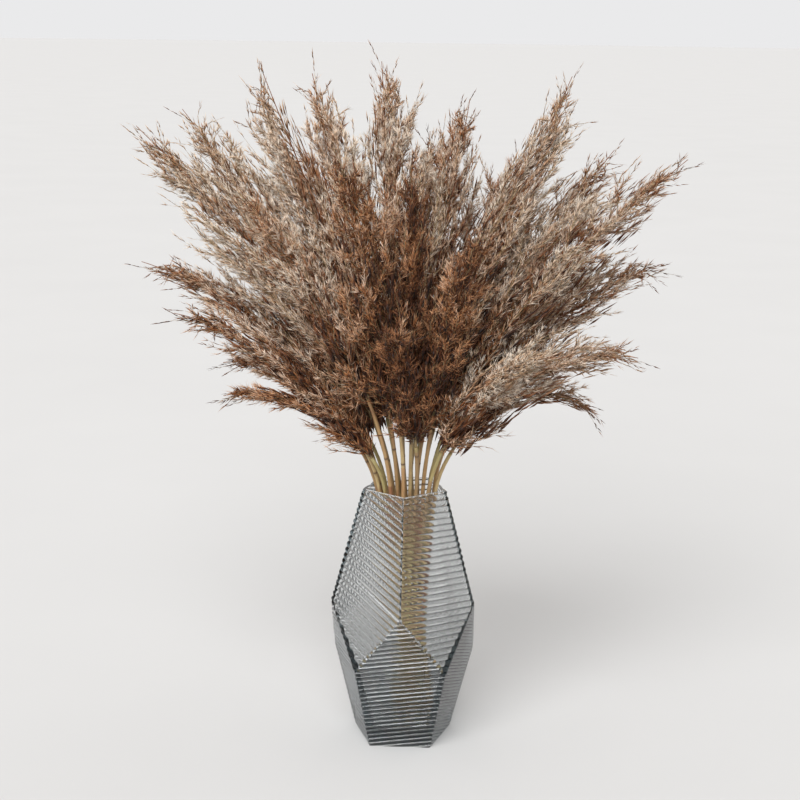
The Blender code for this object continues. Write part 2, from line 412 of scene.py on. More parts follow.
class Plume:
    """One plume, grown layer by layer from its stalk out to its hairs.

    Shares of the plume run from 0 at the neck to 1 at the tip, and shares of a branch from 0
    at the stalk to 1 at its end. Width, lean, lift and pale are its own from the lists below;
    pale is partly the plume's own tone and partly painted shade.
    """

    def __init__(self, line, width, lean, lift, pale, rng):
        self.line = line
        self.size = (line.tip - line.neck) / FULL_LENGTH
        self.width = width
        self.lean = lean
        self.lift = lift
        self.pale = pale
        self.rng = rng
        self.points = []
        self.faces = []
        self.tones = []
        self.heights = []
        self.total = 0

    def add(self, points, faces, tones, heights):
        """One layer: its points and faces, and where each point lies on the map."""
        self.faces.extend(part + self.total for part in faces)
        self.points.append(points)
        self.tones.append(tones)
        self.heights.append(heights)
        self.total += len(points)

    def add_blades(self, bases, directions, lengths, widths, fullest, tones):
        """One layer of blades, each turned at random about its own length."""
        spin = self.rng.uniform(0, 2 * np.pi, len(bases))
        points, faces = blades(bases, directions, lengths, widths, fullest, spin)
        across = tones[:, None] + MAP_GAP * np.array([0, -1, 1, 0])
        heights = np.tile([0, fullest, fullest + MAP_STEP, 1.0], len(bases))
        self.add(points, [faces], across.ravel(), heights)

    def any_way_round(self, count):
        """Angles drawn evenly from a full turn."""
        return self.rng.uniform(0, 2 * np.pi, count)

    def scattered(self, spreads, count):
        """Angles from the least on, the rest half a bell curve as wide as the second value."""
        least, wide = spreads
        return np.abs(self.rng.normal(0, wide, count)) + least

    def reach_at(self, share, part=1.0):
        """A part of how far the plume stands off its stalk at a share of its way up."""
        return part * PLUME_REACH * self.width * self.size**0.5 * plume_outline(share)

    def add_stalk(self):
        """A round stalk that thins evenly from the neck to the tip, straw and then brown."""
        line = self.line
        travelled = np.linspace(line.neck - STALK_ROOT, line.tip - TIP_ROOM, STALK_POINTS)
        first, second = line.sides(travelled)
        radii = np.interp(travelled, [line.neck, line.tip], STALK_RADII)
        rings = rings_round(line.at(travelled), first, second, radii, STALK_SIDES)
        place = np.arange(STALK_SIDES * STALK_POINTS)
        climbed = (place // STALK_SIDES) / STALK_POINTS
        around = np.cos(2 * np.pi * place / STALK_SIDES)
        self.add(rings.reshape(-1, 3),
                 [tube_faces(STALK_SIDES, STALK_POINTS), end_caps(STALK_SIDES, STALK_POINTS)],
                 WOOD_TONE + BROWN_STEP * (climbed > STRAW_SHARE) + 0.01 * around, climbed)

    def add_chaff(self):
        """Broad dark shreds round the stalk, shorter and narrower up the plume.

        Their paleness is the plume's, plus 0.38 for each 170 mm above a height of 450 mm,
        plus half the share climbed, less 0.25, give or take 0.15. Their darkness, deep in the
        plume and low in the bunch, is partly the heart's own brown and partly painted shade.
        """
        rng = self.rng
        count = int(CHAFF * self.size)
        share = CHAFF_CLIMB * rng.uniform(0.0, 1.0, count)
        travelled = self.line.neck + (self.line.tip - self.line.neck) * share
        first, second = self.line.sides(travelled)
        angle = self.any_way_round(count)
        away = self.reach_at(share, CHAFF_REACH)
        away *= np.sqrt(rng.uniform(0.0, 1.0, count))
        roots = self.line.at(travelled) + first * (away * np.cos(angle))[:, None]
        roots = roots + second * (away * np.sin(angle))[:, None]
        spread = rng.uniform(0, CHAFF_SPREAD, count)
        leaning = tilted(self.line.heading(travelled), spread, angle)
        # darker low in the bunch and at the plume's foot: partly own tone, partly painted shade
        paleness = self.pale + 0.38 * (roots[:, 2] - 0.45) / 0.17 + 0.5 * share - 0.25
        tones = at_neck_level(paleness, CHAFF_NECK, share)
        tones += rng.uniform(-0.15, 0.15, count)
        self.add_blades(roots, leaning, rng.uniform(*CHAFF_LENGTHS, count) * (1.1 - 0.5 * share),
                        rng.uniform(*CHAFF_WIDTHS, count) * (1.1 - 0.8 * share),
                        fullest=0.45, tones=in_band(CHAFF_BAND, tones))

    def grow_branches(self):
        """Sets rows of points along the branches, shape (branches, points, 3).

        Branches start at 0.90 * rank^0.92 of the plume, the rank running evenly from 0 to 1,
        and take about 0.36 + 0.22 * rank of what is left above. Each has its own share, the
        square root of 0.10 to 1, of the plume's reach at its end. They follow each other round
        the stalk by the golden turn.

        With t from 0 to 1, a branch climbs the stalk by its length times t, stands off by
        its reach times 1 - (1 - t)^1.6, turns a little round the stalk and sinks by
        SAG * t^2 of its length. With c the share of the plume climbed, it nods to the right
        by lean * t * sin(pi * c^1.5) and up by lift * t * sin(pi * c^0.5). A sine wave of
        WAVE_HEIGHT * t on each axis takes it off the straight.
        """
        rng = self.rng
        line = self.line
        whole = line.tip - TIP_ROOM - line.neck
        upper = int(BRANCHES * self.size * self.width**0.6)
        count = upper + BASE_BRANCHES
        rank = (np.arange(upper) + rng.uniform(0.0, 1.0, upper)) / upper
        start = 0.90 * rank**0.92
        share_taken = np.clip(0.36 + 0.22 * rank + rng.normal(0, 0.12, upper), 0.15, 0.97)
        # one branch ends at the very tip
        start = np.concatenate([[0.70], start[1:], rng.uniform(*BASE_STARTS, BASE_BRANCHES)])
        length = np.concatenate([share_taken * (1 - start[:upper]),
                                 rng.uniform(*BASE_LENGTHS, BASE_BRANCHES)])
        length[0] = 1 - start[0]
        reach = self.reach_at(start + length)
        reach *= np.sqrt(rng.uniform(0.10, 1.0, count)) * rng.uniform(0.85, 1.15, count)
        azimuth = np.arange(count) * np.pi * GOLDEN_TURN + rng.normal(0, 0.4, count)
        swing = rng.normal(0, 0.35, count)
        t = np.linspace(0, 1, BRANCH_POINTS)[None, :]
        climbed = start[:, None] + length[:, None] * t
        travelled = line.neck + whole * climbed
        away = reach[:, None] * (1 - (1 - t) ** 1.6)
        angle = azimuth[:, None] + swing[:, None] * t
        first, second = line.sides(travelled)
        rows = line.at(travelled)
        rows = rows + first * (away * np.cos(angle))[..., None]
        rows = rows + second * (away * np.sin(angle))[..., None]
        flat = np.linalg.norm(line.heading(travelled)[..., :2], axis=-1)
        rows[..., 2] -= SAG * flat * t**2 * (length * whole)[:, None]
        climbed = np.clip(climbed, 0, 1)
        rows[..., 0] += self.lean * t * np.sin(np.pi * climbed**1.5)
        rows[..., 2] += self.lift * t * np.sin(np.pi * climbed**0.5)
        wave = rng.uniform(0, 2 * np.pi, (count, 1, 3)) + 2 * np.pi * t[..., None] * WAVES
        rows += WAVE_HEIGHT * self.size * np.sin(wave) * t[..., None]
        self.rows = rows
        self.start = start
        self.length = length
        self.real_length = whole * length
        self.reach = reach / PLUME_REACH
        self.branch_tone = rng.normal(0, 0.05, count)

    def add_branches(self):
        """A thin closed tube through every other point of each branch."""
        thinned = self.rows[:, ::2]
        steps = thinned.shape[1]
        radii = np.broadcast_to(np.linspace(*BRANCH_RADII, steps), (len(thinned), steps))
        points, faces = threads(thinned, radii)
        place = np.arange(len(points))
        side = place % THREAD_SIDES
        self.add(points, faces,
                 WOOD_TONE + 0.03 * np.cos(2 * np.pi * place / THREAD_SIDES),
                 ((place // THREAD_SIDES) % steps + 0.2 * side) / steps)

    def climbed(self, owner, share):
        """The share of the plume climbed at a share of the owner's way along."""
        return self.start[owner] + self.length[owner] * share

    def silk_and_shade(self, bases, owner, share):
        """How pale and silky it is at each base, with painted shade mixed in.

        It is the plume's and the branch's own paleness, plus 0.6 * (share of the full reach
        away from the stalk - 0.38), plus 0.46 for each 170 mm above a height of 455 mm, with
        a slow random field of 0.08. The last quarter of the plume loses up to 0.40 of it.
        The darkening near the stalk is painted shade inside the plume, and the darkening lower
        down is partly the base's own browner tone and partly painted shade under the bunch.
        """
        away = self.reach[owner] * (1 - (1 - share) ** 1.6)
        climbed = self.climbed(owner, share)
        # darker near the stalk: painted shade inside the plume; darker low down: partly the base's
        # own tone, partly painted shade under the bunch
        paleness = (self.pale + self.branch_tone[owner] + 0.08 * slow_field(bases, self.rng)
                    + 0.6 * (away - 0.38) + 0.46 * (bases[:, 2] - 0.455) / 0.17)
        paleness -= 0.40 * np.clip((climbed - 0.75) / 0.25, 0, 1)
        return at_neck_level(paleness, SILK_NECK, climbed)

    def add_tufts(self):
        """Broad tufts of silk that cling along the branches, fewest where the bunch hides them.

        Twice as many places as needed are drawn, and half are kept by how open they are to
        sight. None is kept past the tip. Their tone is 0.42 + 0.9 * the fluff.
        """
        rng = self.rng
        count = int(TUFTS * self.size * self.width**0.6)
        likely = self.real_length**0.6 * (0.4 + self.start + 0.5 * self.length)
        owner = rng.choice(len(self.rows), 2 * count, p=likely / likely.sum())
        share = rng.uniform(0.0, 0.90, 2 * count)
        roots, headings = at_share(self.rows, owner, share)
        climbed = self.climbed(owner, share)
        sight = open_to_sight(roots) * np.clip((1.02 - climbed) / 0.38, 0, 1)
        taken = rng.choice(2 * count, count, replace=False, p=sight / sight.sum())
        owner, share, roots, headings, climbed = (
            each[taken] for each in (owner, share, roots, headings, climbed))
        spread = self.scattered(TUFT_SPREADS, count)
        leaning = tilted(headings, spread, self.any_way_round(count))
        tones = 0.42 + 0.9 * self.silk_and_shade(roots, owner, share) + rng.normal(0, 0.08, count)
        self.add_blades(roots, leaning,
                        rng.uniform(*TUFT_LENGTHS, count) * (1.1 - 0.45 * climbed),
                        rng.uniform(*TUFT_WIDTHS, count) * (1.10 - 0.3 * climbed),
                        fullest=0.45, tones=in_band(TUFT_BAND, tones))

    def add_branchlets(self):
        """Thin blades evenly spaced along each branch, the last one nearly in line with it.

        A branchlet is 5 mm long, plus 19 mm * (share of the plume left)^0.7, times
        1.15 - 0.70 * (share of the branch)^2, give or take a quarter.
        """
        rng = self.rng
        held = np.round(self.real_length / BRANCHLET_SPACING).astype(int)
        held = np.maximum(2, held)
        owner = np.repeat(np.arange(len(self.rows)), held)
        order = np.arange(len(owner)) - np.repeat(np.cumsum(held) - held, held)
        share = 0.10 + 0.90 * (order + rng.uniform(0.1, 0.9, len(owner))) / held[owner]
        last = order == held[owner] - 1
        share[last] = LAST_SHARE
        roots, headings = at_share(self.rows, owner, share)
        spread = rng.uniform(*BRANCHLET_SPREADS, len(owner)) * (1.1 - 0.4 * share)
        spread[last] *= 0.2
        leaning = tilted(headings, spread, self.any_way_round(len(owner)))
        leaning[..., 2] -= 0.3 * SAG * np.linalg.norm(leaning[..., :2], axis=-1)
        leaning = unit(leaning)
        climbed = self.climbed(owner, share)
        long = (0.005 + 0.019 * (1 - climbed) ** 0.7) * (1.15 - 0.70 * share**2)
        long *= rng.uniform(0.7, 1.25, len(owner))
        long[last] = rng.uniform(*LAST_BRANCHLETS, last.sum())
        self.add_blades(roots, leaning, long, np.full(len(long), BRANCHLET_WIDTH),
                        fullest=0.2, tones=np.full(len(long), BRANCHLET_TONE))
        return owner, share, last, roots, leaning, long

    def add_husks(self, owner, share, last, roots, leaning, long):
        """Seed husks up each branchlet, opening to one side and the other by turns.

        Fewer are kept near a branch's end, but always the last on a branchlet and all on a
        branch's last one. Their tone is 0.42 + the fluff.
        """
        rng = self.rng
        climbed = self.climbed(owner, share)[:, None]
        step = (np.arange(HUSKS) + 0.5) / (HUSKS - 0.5)
        along = np.minimum(step[None] + rng.normal(0, 0.06, (len(long), HUSKS)), 1.0)
        bases = roots[:, None] + leaning[:, None] * (long[:, None] * along)[..., None]
        turn = self.any_way_round((len(long), 1)) + np.pi * np.arange(HUSKS)
        open_angle = rng.uniform(*HUSK_SPREADS, along.shape) * (1 + share[:, None])
        open_angle[last] *= 0.5
        open_angle[:, -1] *= 0.3
        pointing = tilted(np.broadcast_to(leaning[:, None], bases.shape), open_angle, turn)
        kept = rng.uniform(0, 1, along.shape) > 0.75 * share[:, None] ** 2 * climbed**0.5
        kept[last] = True
        kept[:, -1] = True
        kept = kept.ravel()
        bases = bases.reshape(-1, 3)[kept]
        pointing = pointing.reshape(-1, 3)[kept]
        owner = np.repeat(owner, HUSKS)[kept]
        share = np.repeat(share, HUSKS)[kept]
        count = len(bases)
        silk_and_shade = self.silk_and_shade(bases, owner, share)
        long = rng.uniform(*HUSK_LENGTHS, count) * (1.05 - 0.30 * self.climbed(owner, share))
        tones = 0.42 + silk_and_shade + rng.normal(0, 0.11, count)
        self.add_blades(bases, pointing, long, rng.uniform(*HUSK_WIDTHS, count),
                        fullest=0.30, tones=in_band(HUSK_BAND, tones))
        return owner, share, bases, pointing, long, silk_and_shade

    def add_hairs(self, owner, share, bases, pointing, husk_long, silk_and_shade):
        """Silky hairs from the husks, most where the plume is silky and open to sight.

        A husk's chance of one grows as exp(1.8 * fluff). Their tone is 0.58 + 0.85 * fluff.
        """
        rng = self.rng
        climbed = self.climbed(owner, share)
        count = int(HAIRS * self.size * self.width**0.6)
        silky = np.exp(1.8 * np.clip(silk_and_shade, -0.8, 0.6)) * (1.05 - share**3)
        silky *= open_to_sight(bases) * (0.4 + climbed) * np.clip((1.04 - climbed) / 0.34, 0, 1)
        chosen = rng.choice(len(bases), count, p=silky / silky.sum())
        husk_share = rng.uniform(*HAIR_ROOTS, count)
        roots = bases[chosen] + pointing[chosen] * (husk_long[chosen] * husk_share)[:, None]
        spread = self.scattered(HAIR_SPREADS, count)
        heading = tilted(pointing[chosen], spread, self.any_way_round(count))
        tones = 0.58 + 0.85 * silk_and_shade[chosen] + rng.normal(0, 0.07, count)
        long = rng.uniform(*HAIR_LENGTHS, count) * (1.05 - 0.35 * climbed[chosen])
        self.add_blades(roots, heading, long, rng.uniform(*HAIR_WIDTHS, count),
                        fullest=0.15, tones=in_band(HAIR_BAND, tones))

    def mesh(self, name):
        """The whole plume. Its map holds tone across and the way along a blade upwards."""
        self.add_stalk()
        self.add_chaff()
        self.grow_branches()
        self.add_branches()
        self.add_tufts()
        husks = self.add_husks(*self.add_branchlets())
        self.add_hairs(*husks)
        mesh = new_mesh(name, np.concatenate(self.points), self.faces)
        by_point = np.column_stack([np.concatenate(self.tones), np.concatenate(self.heights)])
        corner = read_field(mesh.loops, "vertex_index", kind=np.int32)
        layer = mesh.uv_layers.new(name="OFBake")
        layer.uv.foreach_set("vector", by_point[corner].astype(np.float32).ravel())
        return mesh


# ---- the culms -----------------------------------------------------------------------------
def culm_mesh(name, line, nodes, sheath_from, sheath_to):
    """A round culm: its radius swells at each node and where the leaf sheath wraps it.

    The swelling is NODE_SWELL * exp(-(distance / NODE_HALF_WIDTH)^2). The attribute grain
    holds each point's place on a straight culm, so that streaks run along a bent one.
    """
    near = NODE_HALF_WIDTH * np.array(NODE_RINGS)
    even = np.arange(line.foot, line.neck, CULM_RING_STEP)
    hems = [sheath_from, sheath_from + SHEATH_HEM, sheath_to, sheath_to + SHEATH_HEM]
    travelled = np.concatenate([even, [line.neck], *[node + near for node in nodes], hems])
    travelled = np.unique(np.clip(travelled, line.foot, line.neck))
    travelled = travelled[np.concatenate([[True], np.diff(travelled) > CLOSEST_RINGS])]
    apart = travelled[:, None] - np.asarray(nodes)[None, :]
    mark = np.exp(-((apart / NODE_HALF_WIDTH) ** 2)).sum(axis=1)
    sheath = ((travelled > sheath_from) & (travelled <= sheath_to)).astype(float)
    radii = CULM_RADIUS + NODE_SWELL * mark + SHEATH_RISE * sheath
    first, second = line.sides(travelled)
    rings = rings_round(line.at(travelled), first, second, radii, CULM_SIDES)
    count = len(travelled)
    caps = end_caps(CULM_SIDES, count)
    mesh = new_mesh(name, rings.reshape(-1, 3), [tube_faces(CULM_SIDES, count), caps])
    smooth = np.arange(len(mesh.polygons)) < len(mesh.polygons) - len(caps)
    mesh.polygons.foreach_set("use_smooth", smooth)
    angle = np.tile(2 * np.pi * np.arange(CULM_SIDES) / CULM_SIDES, count)
    grain = np.column_stack([np.cos(angle) * CULM_RADIUS, np.sin(angle) * CULM_RADIUS,
                             np.repeat(travelled, CULM_SIDES)])
    write_field(mesh, "grain", "FLOAT_VECTOR", "POINT", grain)
    write_field(mesh, "node_mark", "FLOAT", "POINT", np.repeat(mark, CULM_SIDES))
    write_field(mesh, "sheath_mark", "FLOAT", "POINT", np.repeat(sheath, CULM_SIDES))
    return mesh


# ---- the vase ------------------------------------------------------------------------------
def rib_profile(pitch):
    """Heights across the ribs: circular arcs side by side, crests at 0, valleys a rise down.

    With h half the pitch and r the rise, an arc's radius is (h^2 + r^2) / (2 * r).
    """
    half = pitch / 2
    rise = RIB_RISE * pitch
    round_radius = (half**2 + rise**2) / (2 * rise)
    widest = np.arcsin(half / round_radius)
    angle = np.linspace(-widest, widest, RIB_FACETS + 1)[:-1]
    across = round_radius * np.sin(angle)
    down = round_radius * (np.cos(angle) - 1)
    ribs = np.arange(-int(BLOCK_REACH / pitch), int(BLOCK_REACH / pitch))
    return (ribs[:, None] * pitch + across[None]).ravel(), np.tile(down, len(ribs))


def pane_directions(azimuth, lean, climb):
    """A pane's outward direction, and the one that its ribs run along.

    Outward is (sin a, -cos a, -lean) made unit; the ribs run along the level direction
    turned by the climb in the pane's plane.
    """
    level = np.array([np.cos(azimuth), np.sin(azimuth), 0.0])
    outward = unit(np.array([np.sin(azimuth), -np.cos(azimuth), -lean]))
    upward = np.cross(outward, level)
    upward = upward if upward[2] > 0 else -upward
    return outward, level * np.cos(climb) + upward * np.sin(climb)


def pane_block(name, azimuth, apothem, lean, inset, climb, pitch):
    """A block whose outer face is one pane, ribbed where a pitch is given.

    Its plane stands off the axis by the apothem at height 0, leans, and is moved in by the
    inset. The block runs along the ribs, across them and inwards by BLOCK_REACH each way.
    """
    outward, run = pane_directions(azimuth, lean, climb)
    across_run = np.cross(outward, run)
    middle = outward * (apothem / np.hypot(1, lean) - inset)
    if pitch:
        across, height = rib_profile(pitch)
    else:
        across, height = np.array([-BLOCK_REACH, BLOCK_REACH]), np.zeros(2)
    count = len(across)
    surface = middle + across[:, None] * across_run + height[:, None] * outward
    deep = middle + across[:, None] * across_run - BLOCK_REACH * outward
    points = np.concatenate([surface - run * BLOCK_REACH, surface + run * BLOCK_REACH,
                             deep - run * BLOCK_REACH, deep + run * BLOCK_REACH])
    k = np.arange(count - 1)
    top_near, top_far, deep_near, deep_far = k, k + count, k + 2 * count, k + 3 * count
    quads = [
        np.column_stack([top_near, top_far, top_far + 1, top_near + 1]),
        np.column_stack([deep_near, deep_near + 1, deep_far + 1, deep_far]),
        np.column_stack([top_near, top_near + 1, deep_near + 1, deep_near]),
        np.column_stack([top_far, deep_far, deep_far + 1, top_far + 1]),
        np.array([[0, 2 * count, 3 * count, count],
                  [count - 1, 2 * count - 1, 4 * count - 1, 3 * count - 1]]),
    ]
    mesh = new_mesh(name, points, quads)
    corners = points[np.concatenate(quads)]
    fans = np.stack([corners[:, [0, 1, 2]], corners[:, [0, 2, 3]]]).reshape(-1, 3, 3)
    if np.linalg.det(fans - middle).sum() < 0:
        mesh.flip_normals()
    return mesh


def slab(name, bottom, top):
    """A level block between two heights, wide enough to hold the whole vase."""
    across = [-BLOCK_REACH / 2, BLOCK_REACH / 2]
    x, y, z = np.meshgrid(across, across, [bottom, top], indexing="ij")
    points = np.column_stack([x.ravel(), y.ravel(), z.ravel()])
    quads = np.array([[0, 1, 3, 2], [4, 6, 7, 5], [0, 4, 5, 1],
                      [2, 3, 7, 6], [0, 2, 6, 4], [1, 5, 7, 3]])
    return new_mesh(name, points, [quads])


def cut_by(room, helper, operation):
    """INTERSECT leaves what the room and the helper share, DIFFERENCE what the room has alone."""
    cut = room.modifiers.new(helper.name, "BOOLEAN")
    cut.operation = operation
    cut.solver = "MANIFOLD"
    cut.object = helper


def shared_room(name, bottom, top, inset, heavy_foot, ribbed):
    """The solid that a level slab and the ten pane blocks all hold.

    A pane that leans outwards moves in by the heavy foot's measure at the foot, and by
    nothing at half the vase's height.
    """
    room = in_scene(name, slab(name, bottom, top))
    helpers = []
    for row, (lean, apothem, turn, ribs) in enumerate(PANE_ROWS):
        if lean > 0:
            lean += heavy_foot / (VASE_HEIGHT / 2)
            apothem -= heavy_foot
        for side, (climb, pitch, _, _) in enumerate(ribs):
            azimuth = (side + turn) * PANE_STEP + VASE_TURN
            block = pane_block(f"{name}_block_{row}_{side}", azimuth, apothem, lean, inset,
                               climb, pitch if ribbed else 0)
            helpers.append(in_scene(block.name, block))
            cut_by(room, helpers[-1], "INTERSECT")
    return room, helpers


def frozen(room, helpers):
    """The room's mesh with its cuts carried out; the helpers go."""
    graph = bpy.context.evaluated_depsgraph_get()
    mesh = bpy.data.meshes.new_from_object(room.evaluated_get(graph))
    for helper in [room, *helpers]:
        bpy.data.objects.remove(helper)
    return mesh


def rib_shades(mesh):
    """How dark each face's corners are painted, between 0 and 1: painted shade in fine lines on the
    ribs.

    With d the depth in a groove, 0 on a rib's crest and 1 in the valley, the shade is the
    pane's crest shade * (1 - d) + its groove shade * d^2. A face belongs to a pane's ribs if
    it faces out, their direction lies in it, and d stays between 0 and 1 at its corners.
    Others have 0.
    """
    corner = read_field(mesh.loops, "vertex_index", kind=np.int32)
    starts = read_field(mesh.polygons, "loop_start", kind=np.int32)
    places = read_field(mesh.vertices, "co", 3)[corner].astype(float)
    facing = read_field(mesh.polygons, "normal", 3).astype(float)
    counts = np.diff(np.append(starts, len(corner)))
    shades = np.zeros(len(corner))
    for lean, apothem, turn, ribs in PANE_ROWS:
        for side, (climb, pitch, crest_shade, groove_shade) in enumerate(ribs):
            azimuth = (side + turn) * PANE_STEP + VASE_TURN
            outward, run = pane_directions(azimuth, lean, climb)
            depth = (apothem / np.hypot(1, lean) - places @ outward) / (RIB_RISE * pitch)
            along = (np.abs(facing @ run) < LEVEL_SLACK) & (facing @ outward > LEAST_OUTWARD)
            along &= np.maximum.reduceat(depth, starts) < 1 + DEPTH_SLACK
            along &= np.minimum.reduceat(depth, starts) > -DEPTH_SLACK
            shade = crest_shade * (1 - depth) + groove_shade * depth**2
            shades = np.where(np.repeat(along, counts), shade, shades)
    return np.clip(shades, 0, 1)


def vase_mesh():
    """The ribbed outside less the plain inside, which runs out through the mouth."""
    outside, blocks = shared_room("ribbed_glass", 0.0, VASE_HEIGHT, inset=0.0,
                                  heavy_foot=0.0, ribbed=True)
    inside, more_blocks = shared_room("hollow", FLOOR_HEIGHT, VASE_HEIGHT + MOUTH_CLEARANCE,
                                      inset=WALL, heavy_foot=HEAVY_FOOT, ribbed=False)
    hollow = in_scene("hollow_cut", frozen(inside, more_blocks))
    cut_by(outside, hollow, "DIFFERENCE")
    mesh = frozen(outside, [*blocks, hollow])
    mesh.materials.clear()
    mesh.polygons.foreach_set("use_smooth", np.ones(len(mesh.polygons), bool))
    mesh.set_sharp_from_angle(angle=SMOOTH_BELOW)
    # fine dark lines painted on the ribs: painted shade standing in for the dark room that real
    # ribs reflect
    write_field(mesh, "painted_rib_shade", "FLOAT", "CORNER", rib_shades(mesh))
    return mesh


# ---- materials ------------------------------------------------------------------------------
def linear(hex_colour):
    """An sRGB hex colour as linear RGBA."""
    parts = np.array([int(hex_colour[i:i + 2], 16) for i in (1, 3, 5)]) / 255
    values = np.where(parts <= 0.04045, parts / 12.92, ((parts + 0.055) / 1.055) ** 2.4)
    return (*values.tolist(), 1.0)


def add_node(tree, kind, settings=None, values=None, links=None, stops=()):
    """One node with its settings, its sockets' own values and its incoming links.

    Stops are a ramp's values with their hex colours.
    """
    node = tree.nodes.new(kind)
    for key, value in (settings or {}).items():
        setattr(node, key, value)
    for key, value in (values or {}).items():
        node.inputs[key].default_value = value
    for key, source in (links or {}).items():
        tree.links.new(source, node.inputs[key])
    for _ in stops[2:]:
        node.color_ramp.elements.new(0.5)
    for step, (place, colour) in enumerate(stops):
        node.color_ramp.elements[step].position = place
        node.color_ramp.elements[step].color = linear(colour)
    return node


def new_material(name):
    """A material without nodes yet, and its node tree."""
    material = bpy.data.materials.new(name)
    material.use_nodes = True
    material.node_tree.nodes.clear()
    return material, material.node_tree


def dried_reed_husk_and_silk():
    """Dry papery husks and silky hairs: dull, brown at the root and paler to the tip.

    To the eye a plume is a haze of pale silk over dark chaff, with husks that catch the
    light. Tone picks the layer: wood below 0.12, chaff and husks to 0.46, tufts to 0.64 and
    hairs above, and within a layer it runs from dark to pale. Besides the reed's own colours,
    the darker tones deep in the plume and low in the bunch carry painted shade.
    """
    material, tree = new_material("dried_reed_husk_and_silk")
    where = add_node(tree, "ShaderNodeUVMap", {"uv_map": "OFBake"})
    parts = add_node(tree, "ShaderNodeSeparateXYZ", links={"Vector": where.outputs["UV"]})
    tone, height = parts.outputs["X"], parts.outputs["Y"]
    root = add_node(tree, "ShaderNodeValToRGB", links={"Fac": tone}, stops=(
        (0.00, "#8d7a58"), (0.11, "#a8946e"),
        (0.13, "#2a130b"), (0.29, "#66361d"), (0.45, "#b98a60"),
        (0.48, "#432113"), (0.55, "#935933"), (0.62, "#dab796"),
        (0.66, "#713d22"), (0.82, "#c28558"), (0.98, "#f5e4d1"),
    ))
    tip = add_node(tree, "ShaderNodeValToRGB", links={"Fac": tone}, stops=(
        (0.00, "#a28c66"), (0.11, "#b9a47e"),
        (0.13, "#532d1a"), (0.29, "#9e663d"), (0.45, "#e9cdac"),
        (0.48, "#633921"), (0.55, "#b97c4b"), (0.62, "#efd8bf"),
        (0.66, "#975c36"), (0.82, "#dfab7e"), (0.98, "#fcf0e0"),
    ))
    colour = add_node(tree, "ShaderNodeMix", {"data_type": "RGBA"},
                      links={"Factor": height, "A": root.outputs["Color"],
                             "B": tip.outputs["Color"]})
    shader = add_node(tree, "ShaderNodeBsdfPrincipled",
                      values={"Roughness": 0.8, "Specular IOR Level": 0.2, "Sheen Weight": 0.06,
                              "Sheen Roughness": 0.4},
                      links={"Base Color": colour.outputs["Result"]})
    add_node(tree, "ShaderNodeOutputMaterial", links={"Surface": shader.outputs["BSDF"]})
    return material


def dried_straw_culm(name, straw, streak, sheath):
    """A hard waxy straw tube: satin, streaked lengthways, brown at its nodes.

    Its fibres are drawn 0.6 mm apart and 30 mm long, coarser than real ones, so that they
    show. Brown stains 25 mm across lie over them.
    """
    material, tree = new_material(name)
    grain = add_node(tree, "ShaderNodeAttribute", {"attribute_name": "grain"})
    node_mark = add_node(tree, "ShaderNodeAttribute", {"attribute_name": "node_mark"})
    sheath_mark = add_node(tree, "ShaderNodeAttribute", {"attribute_name": "sheath_mark"})
    stretched = add_node(tree, "ShaderNodeMapping", values={"Scale": (1.0, 1.0, 0.02)},
                         links={"Vector": grain.outputs["Vector"]})
    fibre = add_node(tree, "ShaderNodeTexNoise", values={"Scale": 1600.0, "Detail": 3.0},
                     links={"Vector": stretched.outputs["Vector"]})
    stain = add_node(tree, "ShaderNodeTexNoise", values={"Scale": 40.0, "Detail": 4.0},
                     links={"Vector": grain.outputs["Vector"]})
    streaks = add_node(tree, "ShaderNodeMix", {"data_type": "RGBA"},
                       values={"A": linear(straw), "B": linear(streak)},
                       links={"Factor": fibre.outputs["Fac"]})
    patches = add_node(tree, "ShaderNodeMapRange",
                       values={"From Min": 0.45, "From Max": 0.72, "To Max": 0.85},
                       links={"Value": stain.outputs["Fac"]})
    stained = add_node(tree, "ShaderNodeMix", {"data_type": "RGBA"},
                       values={"B": linear("#7d5236")},
                       links={"Factor": patches.outputs["Result"], "A": streaks.outputs["Result"]})
    wrapped = add_node(tree, "ShaderNodeMix", {"data_type": "RGBA"},
                       values={"B": linear(sheath)},
                       links={"Factor": sheath_mark.outputs["Fac"], "A": stained.outputs["Result"]})
    ringed = add_node(tree, "ShaderNodeMix", {"data_type": "RGBA"},
                      values={"B": linear("#5b4029")},
                      links={"Factor": node_mark.outputs["Fac"], "A": wrapped.outputs["Result"]})
    bump = add_node(tree, "ShaderNodeBump", values={"Strength": 0.35, "Distance": 0.0001},
                    links={"Height": fibre.outputs["Fac"]})
    shader = add_node(tree, "ShaderNodeBsdfPrincipled", values={"Roughness": 0.45},
                      links={"Base Color": ringed.outputs["Result"],
                             "Normal": bump.outputs["Normal"]})
    add_node(tree, "ShaderNodeOutputMaterial", links={"Surface": shader.outputs["BSDF"]})
    return material


